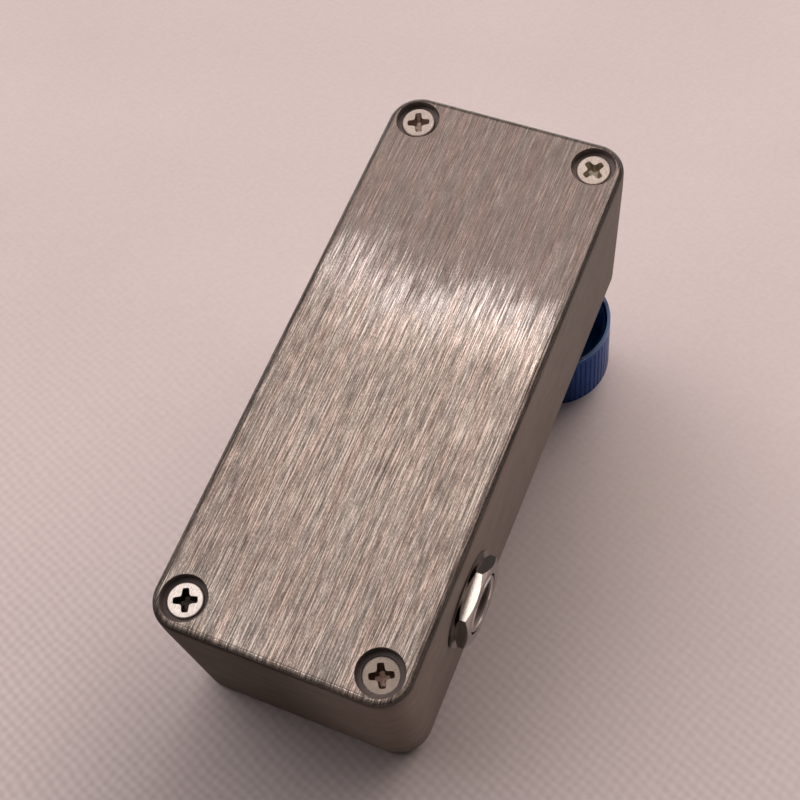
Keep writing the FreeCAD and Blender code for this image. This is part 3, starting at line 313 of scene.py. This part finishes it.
def brushed(name):
    """Aluminium brushed along the box on its lid and face, and level round its walls.

    Light is smeared across the scratches, so the tangent lies across them.
    """
    paint = Paint(name)
    x, y, z = paint.split(paint.place())
    ny, nz = paint.split(paint.facing)[1:]
    steep = paint.math("ABSOLUTE", nz)
    flat = paint.span(steep, 0.6, 0.8)
    upright = paint.math("SUBTRACT", 1.0, flat)
    near_end = paint.span(paint.math("MULTIPLY", ny, -1.0), 0.3, 0.9)
    patch = paint.noise(0.16, 3.0, seed=31.0)
    sunk = in_wells(paint, x, y, z)

    # The scratches' streaks and random patches, times the painted light and shade by place.
    tone = paint.times(scratch_tone(paint, flat, upright, y), paint.vary(patch, 0.95, 1.05),
                       painted_place_shade(paint, x, y, steep, upright, near_end))
    hue = streaks(paint, flat, 0.5, 0.06, 41.0)
    color = paint.mix(paint.span(hue, -0.15, 0.15), COOL_METAL, WARM_METAL)
    # The walls take the warm tint of their painted shade.
    wall_shade_tint = paint.mix(near_end, SIDE_SHADE_TINT, END_SHADE_TINT)
    color = paint.vector("MULTIPLY", color, paint.mix(upright, (1.0, 1.0, 1.0), wall_shade_tint))
    color = paint.vector("SCALE", color, scale=tone)
    # Painted shade in the wells, lightened towards the far end as painted light.
    painted_well_shade = paint.vector("SCALE", WELL_SHADE_COLOR, scale=paint.span(y, -40.0, 40.0, 1.0, 2.0))
    color = paint.mix(sunk, color, painted_well_shade)
    rough = paint.blend(upright, paint.vary(patch, *FLAT_SHINE), WALL_SHINE)
    rough = paint.blend(sunk, rough, 0.5)

    across = paint.math("MULTIPLY", streaks(paint, flat, 3.4, 0.2, 61.0), TILT_ACROSS)
    along = paint.math("MULTIPLY", streaks(paint, flat, 3.2, 0.12, 23.0), TILT_ALONG)
    middle = paint.math("ABSOLUTE", paint.math("SUBTRACT", x, 4.0))
    along = paint.math("ADD", along, paint.span(middle, 9.0, 3.0, 0.0, LID_HOLLOW))
    on_lid = paint.vector("SCALE", paint.join(across, along, 0.0), scale=flat)
    on_wall = paint.vector("SCALE", paint.join(0.0, 0.0, across), scale=upright)
    tilt = paint.vector("ADD", on_lid, on_wall)
    normal = paint.vector("NORMALIZE", paint.vector("ADD", paint.facing, tilt))
    tangent = paint.join(flat, 0.0, upright)
    metal = paint.math("SUBTRACT", 1.0, sunk)
    return paint.surface(color, rough, metal, normal, tangent, anisotropic=1.0)


# The knobs: each axis, the radii of the turned end, the back rim with its painted highlight and the
# hollow, and how high the rim and the hollow end.
KNOB_AT = (11.0, 33.5)
KNOB_END = 9.2
KNOB_RIM = 8.95
KNOB_HOLLOW = 8.9
RIM_END = 34.2
HOLLOW_END = 46.3
ANODISED = (0.02, 0.055, 0.20)
ANODISED_HOLLOW = (0.05, 0.26, 0.62)
# The back rim's pale blue is a painted highlight.
ANODISED_RIM_HIGHLIGHT = (0.26, 0.42, 0.75)
ANODISED_GLANCE = (0.68, 0.75, 0.92)


def anodised(name):
    """Blue anodised aluminium, turned on its ends, paler inside, with a painted highlight along its
    back rim.
    """
    paint = Paint(name)
    x, y, z = paint.split(paint.place())
    off = paint.away(paint.math("ABSOLUTE", x), y, KNOB_AT)
    rings = paint.noise(7.0, 3.0, place=paint.join(off, 0.0, 0.0))
    rings = paint.blend(paint.span(off, KNOB_END, KNOB_END + 0.1), rings, 0.5)
    cloud = paint.noise(0.5, 3.0, seed=2.0)
    tone = paint.math("ADD", paint.vary(rings, 0.88, 1.08), paint.vary(cloud, -0.06, 0.06))
    shade = paint.vector("SCALE", ANODISED, scale=tone)
    inside = paint.times(paint.span(off, KNOB_HOLLOW, KNOB_HOLLOW - 0.2),
                         paint.span(z, HOLLOW_END, HOLLOW_END - 0.1))
    # Painted highlight along the back rim.
    rim = paint.times(paint.span(off, KNOB_RIM, KNOB_RIM + 0.15),
                      paint.span(z, RIM_END, RIM_END - 0.15))
    shade = paint.mix(inside, shade, ANODISED_HOLLOW)
    shade = paint.mix(rim, shade, ANODISED_RIM_HIGHLIGHT)
    rough = paint.blend(inside, paint.vary(rings, 0.2, 0.32), 0.45)
    metal = paint.math("SUBTRACT", 1.0, paint.math("MULTIPLY", inside, 0.8))
    return paint.surface(shade, rough, metal, paint.bump(rings, 0.003), specular_tint=ANODISED_GLANCE)


def nickel(name, color, roughness=0.16):
    """Bright plated metal with faint scratches."""
    paint = Paint(name)
    cloud = paint.noise(0.9, 4.0)
    scratch = paint.noise((14.0, 1.5, 3.0), 2.0, seed=4.0)
    shade = paint.vector("SCALE", color, scale=paint.vary(cloud, 0.9, 1.05))
    rough = paint.span(scratch, 0.35, 0.7, roughness * 0.8, roughness * 1.5)
    return paint.surface(shade, rough, 1.0, paint.bump(scratch, 0.0015))


# The output jack: where its axis is along Y and Z, its bore's radius and how far out its mouth is.
JACK_AT = (-24.8, 13.6)
JACK_BORE = 3.45
JACK_MOUTH = -19.5
# Painted shade: the bore is dark and matt inside its mouth.
JACK_MOUTH_SHADE = (0.24, 0.21, 0.195)
# Painted shade: how bright its nut's far and near facets and its front are beside the rest.
FAR_FACET_SHADE = 0.2
NEAR_FACET_SHADE = 0.36
FRONT_SHADE = 0.62
NICKEL = (0.70, 0.655, 0.61)


def shaded_front(paint, nx):
    """How bright the jacks' metal is by its facing: painted shade on the output jack's front."""
    return paint.span(nx, -0.8, -0.9, 1.0, FRONT_SHADE)


def jack_nut(name):
    """The jacks' nuts: painted shade on the output nut's facets, most towards +Y, and faint grain."""
    paint = Paint(name)
    x = paint.split(paint.place())[0]
    nx, ny = paint.split(paint.facing)[:2]
    far = paint.span(ny, 0.4, 0.6, 1.0, FAR_FACET_SHADE)
    near = paint.span(ny, -0.6, -0.8, 1.0, NEAR_FACET_SHADE)
    # Painted shade on the output nut's facets and front, then faint grain.
    facet_shade_and_grain = paint.times(far, near, shaded_front(paint, nx))
    facet_shade_and_grain = paint.blend(paint.span(x, 0.0, -1.0), 1.0, facet_shade_and_grain)
    grain = paint.noise((3.0, 1.0, 3.0), 3.0, seed=7.0)
    facet_shade_and_grain = paint.times(facet_shade_and_grain, paint.vary(grain, 0.92, 1.08))
    shade = paint.vector("SCALE", NICKEL, scale=facet_shade_and_grain)
    return paint.surface(shade, 0.16, 1.0, paint.bump(grain, 0.002))


def jack_bushing(name):
    """The jacks' threaded bushings: painted shade on the output jack's front, and its bore painted
    dark and matt at the mouth as painted shade.
    """
    paint = Paint(name)
    x, y, z = paint.split(paint.place())
    nx = paint.split(paint.facing)[0]
    off = paint.away(y, z, JACK_AT)
    mouth = paint.times(paint.span(off, JACK_BORE, JACK_BORE - 0.05),
                        paint.span(x, JACK_MOUTH, JACK_MOUTH - 0.5))
    cloud = paint.noise(0.9, 4.0)
    tone = paint.times(paint.vary(cloud, 0.92, 1.04), shaded_front(paint, nx))
    # Painted shade inside the bore's mouth.
    shade = paint.mix(mouth, paint.vector("SCALE", NICKEL, scale=tone), JACK_MOUTH_SHADE)
    metal = paint.math("SUBTRACT", 1.0, mouth)
    return paint.surface(shade, paint.blend(mouth, 0.2, 0.6), metal, paint.bump(cloud, 0.002))


def materials():
    steel = dict(metallic=1.0, tone=0.08)
    clear = dict(relief=0.0, ior=1.5)
    return {
        "cast_aluminium": brushed("brushed_aluminium"),
        "nickel_steel": nickel("nickel_plate", NICKEL),
        "blue_anodised": anodised("blue_anodised"),
        "black_steel": worn("black_oxide", (0.02, 0.02, 0.022), 0.4, **steel),
        "pressed_steel": worn("zinc_plated_steel", (0.55, 0.55, 0.56), 0.3, **steel),
        "zinc_casting": worn("cast_zinc", (0.50, 0.50, 0.51), 0.45, **steel),
        "shaft_aluminium": worn("turned_aluminium", (0.62, 0.62, 0.63), 0.28, **steel),
        "phenolic": worn("phenolic_sheet", (0.16, 0.07, 0.03), 0.5),
        "spring_bronze": worn("spring_bronze", (0.62, 0.42, 0.22), 0.28, **steel),
        "tinned_copper": worn("tinned_copper", (0.62, 0.60, 0.56), 0.3, **steel),
        "black_plastic": worn("black_moulding", (0.018, 0.018, 0.019), 0.38, relief=0.006),
        "circuit_green": worn("solder_resist", (0.01, 0.12, 0.045), 0.3),
        "clear_glass": worn("valve_glass", (0.93, 0.96, 0.97), 0.03, tone=0.02,
                            transmission_weight=1.0, **clear),
        "electrode_nickel": worn("carbonised_nickel", (0.10, 0.10, 0.10), 0.55, **steel),
        "mica": worn("mica", (0.70, 0.64, 0.52), 0.3),
        "silicone": worn("silicone_rubber", (0.40, 0.07, 0.035), 0.6),
        "lamp_lens": worn("lamp_lens", (0.86, 0.93, 0.97), 0.12, tone=0.03,
                          transmission_weight=0.8, **clear),
        "can_sleeve": worn("can_sleeve", (0.008, 0.010, 0.03), 0.25),
        "film_box": worn("resin_box", (0.50, 0.14, 0.01), 0.4),
        "chip_ceramic": worn("thick_film_chip", (0.02, 0.02, 0.022), 0.35),
        "wire_jacket": worn("wire_jacket", (0.30, 0.01, 0.008), 0.35),
    }


# The angle between two faces, in degrees, below which the edge between them is shaded smooth.
NODE_SMOOTH = 24.0
SCREW_SMOOTH = 25.0


def mesh_object(name, points, faces, smooth_degrees):
    mesh = bpy.data.meshes.new(name)
    mesh.from_pydata([tuple(p) for p in points], [], faces)
    mesh.validate()
    mesh.update()
    made = bpy.data.objects.new(name, mesh)
    bpy.context.collection.objects.link(made)
    for polygon in mesh.polygons:
        polygon.use_smooth = True
    mesh.set_sharp_from_angle(angle=math.radians(smooth_degrees))
    return made


# Lid screws: a shank, a cone, and a bevelled head with a tapering cross recess, in millimetres.
STEPS = 192
SHANK_RADIUS = 1.5
SHANK_END = 12.2
HEAD_RADIUS = 2.56
CONE_END = 1.45
# The head's edge from the cone on: how far each ring is in from its side and below its face.
HEAD_EDGE = ((0.0, 0.3), (0.0, 0.12), (0.05, 0.05), (0.14, 0.0))
FACE_EDGE = 0.2
FACE_SHARES = (0.7, 0.35, 0.0)
LEANS_BELOW = 3.0
WING_REACH = 1.7
WING_HALF = 0.5
WING_CORE = 0.86
WING_SQUARE = 6.0
CORE_SQUARE = 8.0
RECESS_BEVEL = 0.05
RECESS_DEEP = 1.4
RECESS_DEPTHS = (0.0, 0.3, 0.6, 0.9, 1.15, RECESS_DEEP)
RECESS_TAPER = math.tan(math.radians(26.5))
FLOOR_SHARE = 0.45
FLOOR_DEEP = 0.12
FLOOR_HUB_DEEP = 0.2
FACE_SHINE = 0.16
DULL_FACE_SHINE = 0.3
RECESS_SHINE = 0.35
# The rows of faces, from the shank's end on, that make the head's bevel.
EDGE_ROWS = (3, 4)
# Each screw's well, by the signs of its X and Y, how far its recess is turned in degrees, how deep
# its head is sunk, how steeply the head leans along X and Y, and the colours of its face and recess,
# which carry each screw's painted highlight and painted shade.
SCREWS = (
    ("right_far", 1, 1, 68.0, 0.75, 0.0, -0.07, (0.54, 0.485, 0.45), (0.56, 0.475, 0.43)),
    ("left_far", -1, 1, 35.0, 0.9, 0.0, -0.07, (0.53, 0.48, 0.44), (0.62, 0.58, 0.49)),
    ("right_near", 1, -1, 67.0, 0.9, 0.0, 0.0, (0.94, 0.92, 0.90), (0.07, 0.06, 0.055)),
    ("left_near", -1, -1, 63.0, 1.3, -0.08, 0.0, (0.46, 0.415, 0.37), (0.27, 0.20, 0.165)),
)


def recess_reach(angle, deep):
    """How far the recess's wall is from the screw's axis, at an angle from a wing."""
    turn = (angle + math.pi / 4) % (math.pi / 2) - math.pi / 4
    reach = WING_REACH - deep * RECESS_TAPER
    half = WING_HALF - deep * 0.1
    core = WING_CORE - deep * 0.2
    wing = ((abs(math.cos(turn)) / reach) ** WING_SQUARE
            + (abs(math.sin(turn)) / half) ** WING_SQUARE) ** (-1 / WING_SQUARE)
    return (wing ** CORE_SQUARE + core ** CORE_SQUARE) ** (1 / CORE_SQUARE)


def screw_loops(sunk):
    """A screw's rings, from its shank's end on to its recess's floor, and which opens the recess."""
    angles = [math.tau * step / STEPS for step in range(STEPS)]
    loops = []

    def loop(radius_of, height):
        loops.append([(radius_of(a), a, height) for a in angles])

    loop(lambda a: SHANK_RADIUS, SHANK_END)
    loop(lambda a: SHANK_RADIUS, CONE_END + HEAD_RADIUS - SHANK_RADIUS)
    for inset, deep in HEAD_EDGE:
        loop(lambda a: HEAD_RADIUS - inset, sunk + deep)
    for share in FACE_SHARES:
        loop(lambda a: (recess_reach(a, 0.0) + RECESS_BEVEL) * (1 - share)
             + (HEAD_RADIUS - FACE_EDGE) * share, sunk)
    opening = len(loops)
    for deep in RECESS_DEPTHS:
        loop(lambda a: recess_reach(a, deep), sunk + RECESS_BEVEL + deep)
    loop(lambda a: recess_reach(a, RECESS_DEEP) * FLOOR_SHARE, sunk + RECESS_DEEP + FLOOR_DEEP)
    return loops, opening


def lid_screw(name, x, y, turn, sunk, lean_x, lean_y):
    """A countersunk screw, head down, with a tapering cross recess."""
    loops, opening = screw_loops(sunk)
    points, faces = [], []
    for ring in loops:
        for radius, angle, height in ring:
            bearing = angle + math.radians(turn)
            off_x, off_y = radius * math.cos(bearing), radius * math.sin(bearing)
            lift = lean_x * off_x + lean_y * off_y if height < LEANS_BELOW else 0.0
            points.append(Vector((x + off_x, y + off_y, height + lift)) * MM)
    last = len(loops) - 1
    for row in range(last):
        for step in range(STEPS):
            here, following = row * STEPS + step, row * STEPS + (step + 1) % STEPS
            faces.append((here, following, following + STEPS, here + STEPS))
    for row, height in ((0, SHANK_END), (last, sunk + RECESS_DEEP + FLOOR_HUB_DEEP)):
        hub = len(points)
        points.append(Vector((x, y, height)) * MM)
        for step in range(STEPS):
            here, following = row * STEPS + step, row * STEPS + (step + 1) % STEPS
            faces.append((here, following, hub) if row else (following, here, hub))
    made = mesh_object("lid_screw_" + name, points, faces, SCREW_SMOOTH)
    for polygon in made.data.polygons:
        row = polygon.index // STEPS
        inside = row >= opening and row != last
        polygon.material_index = 2 if row in EDGE_ROWS else int(inside)
    return made


def sheet(name, corners, material):
    made = mesh_object(name, corners, [tuple(range(len(corners)))], NODE_SMOOTH)
    made.data.materials.append(material)


# The photograph's camera looks up through a gate and the table, so all its light has gone through at
# least two clear surfaces. That tells it from light on its way to a camera above the table.
GATES = 1.5
# How far the table and the gate reach, in metres, and how high they lie, in millimetres.
TABLE_REACH = 8.0
TABLE_HEIGHT = -0.1
GATE_HEIGHT = -4.0
TABLE_DARK = (0.74, 0.715, 0.70)
TABLE_LIGHT = (0.78, 0.755, 0.74)

# The cloth in the photograph: a plane that the face's near edge and the knobs' rims rest on.
CLOTH_SLOPE = 0.254
CLOTH_AT = (-45.0, 31.0)
CLOTH_WIDE = 400.0
CLOTH_NEAR = -160.0
CLOTH_FAR = 400.0
CLOTH_COLOR = (0.835, 0.80, 0.795)
# Its weave: waves per millimetre along X and Y of each of its two sets of threads, and its share.
THREADS = (
    (-0.251, 0.630, 0.6),
    (0.645, 0.195, 0.4),
)
THREADS_WAVER = 9.0
# Painted shadow by the box, in patches: middle, how far each is evenly dark, where it ends, and how
# dark it is.
SHADOW_PATCHES = (
    ((5.0, -56.0), 6.0, 40.0, 0.8),
    ((-45.0, -30.0), 22.0, 72.0, 0.9),
)


def seen_when(paint, compare, shader):
    """shader on a sheet's front, where light has gone through fewer or more surfaces than GATES."""
    depth = paint.add("ShaderNodeLightPath").outputs["Transparent Depth"]
    back = paint.add("ShaderNodeNewGeometry").outputs["Backfacing"]
    shown = paint.times(paint.math(compare, depth, GATES), paint.math("SUBTRACT", 1.0, back))
    clear = paint.add("ShaderNodeBsdfTransparent")
    both = paint.add("ShaderNodeMixShader")
    paint.feed(shown, both.inputs[0])
    paint.feed(clear.outputs[0], both.inputs[1])
    paint.feed(shader, both.inputs[2])
    paint.feed(both.outputs[0], paint.output.inputs["Surface"])
    return paint.material


def level_sheet(name, height, material):
    reach, height = TABLE_REACH, height * MM
    corners = ((-reach, -reach), (reach, -reach), (reach, reach), (-reach, reach))
    sheet(name, [(x, y, height) for x, y in corners], material)


def table():
    """A plain table for the views from above."""
    paint = Paint("table_top")
    cloud = paint.noise(0.02, 3.0)
    color = paint.mix(paint.vary(cloud, 0.0, 1.0), TABLE_DARK, TABLE_LIGHT)
    level_sheet("table", TABLE_HEIGHT, seen_when(paint, "LESS_THAN", paint.matt(color)))


def gate():
    """A clear sheet under the table."""
    paint = Paint("clear_gate")
    clear = paint.add("ShaderNodeBsdfTransparent")
    paint.feed(clear.outputs[0], paint.output.inputs["Surface"])
    level_sheet("gate", GATE_HEIGHT, paint.material)


def cloth_weave(paint, x, y):
    """The threads' pattern, which wavers a little and fades with the distance."""
    weave = 0.0
    for along_x, along_y, share in THREADS:
        turns = paint.math("MULTIPLY", y, along_y * math.tau)
        turns = paint.math("MULTIPLY_ADD", x, along_x * math.tau, turns)
        waver = paint.noise(0.15, seed=along_x)
        turns = paint.math("MULTIPLY_ADD", waver, THREADS_WAVER, turns)
        weave = paint.math("MULTIPLY_ADD", paint.math("COSINE", turns), share, weave)
    return paint.times(weave, paint.span(y, 40.0, -90.0, 0.008, 0.09))


def cloth():
    """The photograph's tilted cloth, for its view from below."""
    paint = Paint("pale_cloth")
    x, y = paint.split(paint.place())[:2]
    fibre = paint.noise(1.1)
    cloud = paint.noise(0.02, seed=6.0)
    tone = paint.math("ADD", cloth_weave(paint, x, y), paint.vary(fibre, -0.02, 0.02))
    tone = paint.math("ADD", tone, paint.vary(cloud, -0.02, 0.02))
    # Painted shade: the cloth darker towards the near end.
    tone = paint.math("ADD", tone, paint.span(y, -120.0, 60.0, 0.87, 1.0))
    # Painted shadow in patches by the box.
    for middle, start, end, shadow_dark in SHADOW_PATCHES:
        tone = paint.times(tone, paint.span(paint.away(x, y, middle), start, end, shadow_dark, 1.0))
    color = paint.vector("SCALE", CLOTH_COLOR, scale=tone)
    seen_when(paint, "GREATER_THAN", paint.matt(color, paint.bump(fibre, 0.015)))

    def on_cloth(side, forward):
        height = CLOTH_AT[1] + CLOTH_SLOPE * (forward - CLOTH_AT[0])
        return (side * MM, forward * MM, height * MM)

    corners = ((-CLOTH_WIDE, CLOTH_NEAR), (-CLOTH_WIDE, CLOTH_FAR),
               (CLOTH_WIDE, CLOTH_FAR), (CLOTH_WIDE, CLOTH_NEAR))
    sheet("cloth", [on_cloth(*corner) for corner in corners], paint.material)


# Soft lights for the views from above: place and aim in metres, how wide, and how bright.
PANELS = (
    ("studio_top", (0.1, -0.1, 0.9), (0.0, 0.0, 0.0), 0.8, 0.75),
    ("studio_left", (-0.7, -0.5, 0.5), (0.0, 0.0, 0.02), 0.5, 0.7),
)
PANEL_TINT = (1.0, 0.985, 0.97)
# The room's glow above the table, as things are lit by it and as metal mirrors it, and its wall
# as a camera sees it from the table up.
ROOM_GLOW = (0.52, 0.505, 0.50)
ROOM_MIRRORED = (0.86, 0.835, 0.82)
WALL_FOOT = (0.56, 0.545, 0.535)
WALL_TOP = (0.84, 0.82, 0.81)

# The photograph is lit by two broad glows: where each comes from, how tight it is, and its colour.
PHOTO_GLOWS = (
    (Vector((0.586, 0.210, -0.782)), 10.5, (2.96, 2.49, 2.45)),
    (Vector((-0.111, 0.990, -0.090)), 5.0, (4.2, 3.38, 3.15)),
)
# What its metal mirrors, by slopes off straight down. A ceiling ends at a far slope in a bright band,
# and lies round a middle slope to the side.
CEILING_END = 0.545
CEILING_MIDDLE = 0.3
CEILING_TINT = (1.0, 0.86, 0.775)
BAND_TINT = (0.97, 0.93, 0.955)
BAND_START = (0.507, 0.468)
BAND_BRIGHT = 1.42
DIM_TINT = (1.0, 0.82, 0.765)
DIM_BRIGHT = (0.2, 0.62)
# Two windows: slopes across and along, how wide each is, and how bright.
WINDOWS = (
    ((0.165, -0.19), 0.066, 1.95),
    ((0.383, 0.217), 0.022, 0.95),
)
WINDOW_TINT = (1.0, 0.95, 0.91)


def panel(name, place, aim, size, glow):
    """A soft square light whose surface is as bright as glow."""
    data = bpy.data.lights.new(name, "AREA")
    data.energy = glow * math.pi * size * size
    data.shape = "RECTANGLE"
    data.size = size
    data.size_y = size
    data.color = PANEL_TINT
    made = bpy.data.objects.new(name, data)
    bpy.context.collection.objects.link(made)
    made.location = Vector(place)
    made.rotation_mode = "QUATERNION"
    made.rotation_quaternion = (Vector(aim) - Vector(place)).to_track_quat("-Z", "Y")


def photo_ceiling(room, across, along, before_end):
    """The lit ceiling in the photograph's metal, its bright band cooler than the rest."""
    ceiling = room.span(along, 0.0, 0.22, 0.1, 0.44, smooth=False)
    ceiling = room.math("ADD", ceiling, room.span(along, 0.22, 0.46, 0.0, 0.19, smooth=False))
    start = room.span(across, 0.38, 0.24, *BAND_START)
    band = room.span(along, start, CEILING_END - 0.01, 0.0, BAND_BRIGHT, smooth=False)
    aside = room.math("ABSOLUTE", room.math("SUBTRACT", across, CEILING_MIDDLE))
    bright = room.times(room.math("ADD", ceiling, band), before_end, room.span(aside, 0.42, 0.2))
    tint = room.mix(room.span(along, 0.508, 0.526), CEILING_TINT, BAND_TINT)
    return room.vector("SCALE", tint, scale=bright)


def photo_room(room, x, y, z):
    """How bright the room in the photograph's metal is towards x, y, z, below the table."""
    down = room.math("MAXIMUM", room.math("MULTIPLY", z, -1.0), 0.02)
    along = room.math("DIVIDE", y, down)
    across = room.math("DIVIDE", x, down)
    before_end = room.span(along, CEILING_END, CEILING_END - 0.012)
    lit = photo_ceiling(room, across, along, before_end)
    for middle, reach, bright in WINDOWS:
        window = room.span(room.away(across, along, middle), reach * 1.4, reach, 0.0, bright)
        lit = room.vector("ADD", lit, room.vector("SCALE", WINDOW_TINT, scale=window))
    back = room.times(room.span(along, -0.9, -0.2), room.span(along, 1.3, 0.9),
                      room.span(room.math("ABSOLUTE", across), 1.6, 0.8),
                      room.span(before_end, 0.0, 1.0, 1.0, 0.4))
    dim = room.vector("SCALE", DIM_TINT, scale=room.span(back, 0.0, 1.0, *DIM_BRIGHT))
    return room.vector("ADD", dim, lit)


def surroundings():
    """The studio above the table, and the photograph's room below it."""
    world = bpy.data.worlds.new("room")
    bpy.context.scene.world = world
    nodes = Nodes(world, "ShaderNodeOutputWorld")
    way = nodes.add("ShaderNodeTexCoord").outputs["Generated"]
    x, y, z = nodes.split(way)
    rays = nodes.add("ShaderNodeLightPath").outputs
    seen = nodes.math("MAXIMUM", rays["Is Camera Ray"], rays["Is Glossy Ray"])
    seen = nodes.math("MAXIMUM", seen, rays["Is Transmission Ray"])
    glow = (0.0, 0.0, 0.0)
    for source, power, color in PHOTO_GLOWS:
        towards = nodes.math("MAXIMUM", nodes.vector("DOT_PRODUCT", way, source), 0.0)
        lit = nodes.vector("SCALE", color, scale=nodes.math("POWER", towards, power))
        glow = nodes.vector("ADD", glow, lit)
    below = nodes.mix(seen, glow, photo_room(nodes, x, y, z))
    above = nodes.mix(seen, ROOM_GLOW, ROOM_MIRRORED)
    shown = nodes.mix(nodes.math("GREATER_THAN", z, 0.0), below, above)
    wall = nodes.mix(nodes.span(z, 0.0, 0.3), WALL_FOOT, WALL_TOP)
    shade = nodes.add("ShaderNodeBackground")
    nodes.feed(nodes.mix(rays["Is Camera Ray"], shown, wall), shade.inputs["Color"])
    nodes.feed(shade.outputs[0], nodes.output.inputs["Surface"])


def smooth_nodes():
    """The CAD pieces' round faces shaded smooth, their edges kept."""
    for piece in frame["nodes"].values():
        for polygon in piece.data.polygons:
            polygon.use_smooth = True
        piece.data.set_sharp_from_angle(angle=math.radians(NODE_SMOOTH))


def dress():
    """Each CAD piece in the finish of its material slot, or in one of its own."""
    finish = materials()
    own = {
        "jack_nuts": jack_nut("jack_nut_plate"),
        # The washers' nickel is painted far darker than the nut's, as painted shade.
        "jack_washers": nickel("shaded_washer_plate", (0.26, 0.225, 0.20)),
        "output_jack_frame": jack_bushing("bushing_plate"),
    }
    for part in frame["record"]["subparts"]:
        node = part["node"]
        piece = frame["nodes"][node]
        piece.data.materials.clear()
        piece.data.materials.append(own[node] if node in own else finish[part["material_slot"]])


def lid_screws():
    """The four screws, in place of the plainer ones in the CAD. The one that leans in X is duller."""
    # A paler, partly matt bevel round each head's rim.
    edge = worn("pale_rim_bevel", (0.62, 0.56, 0.52), 0.4, metallic=0.3)
    for name, side, end, turn, sunk, lean_x, lean_y, face, recess in SCREWS:
        screw = lid_screw(name, side * WELL_AT[0], end * WELL_AT[1], turn, sunk, lean_x, lean_y)
        shine = DULL_FACE_SHINE if lean_x else FACE_SHINE
        # Each screw's own face and recess colours: painted light and shade.
        screw.data.materials.append(nickel(name + "_face", face, shine))
        screw.data.materials.append(nickel(name + "_recess", recess, RECESS_SHINE))
        screw.data.materials.append(edge)
        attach(screw, "case")
        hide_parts("lid_screws")


camera()
table()
gate()
cloth()
for row in PANELS:
    panel(*row)
surroundings()
smooth_nodes()
dress()
lid_screws()

bpy.context.scene.view_settings.view_transform = "Standard"
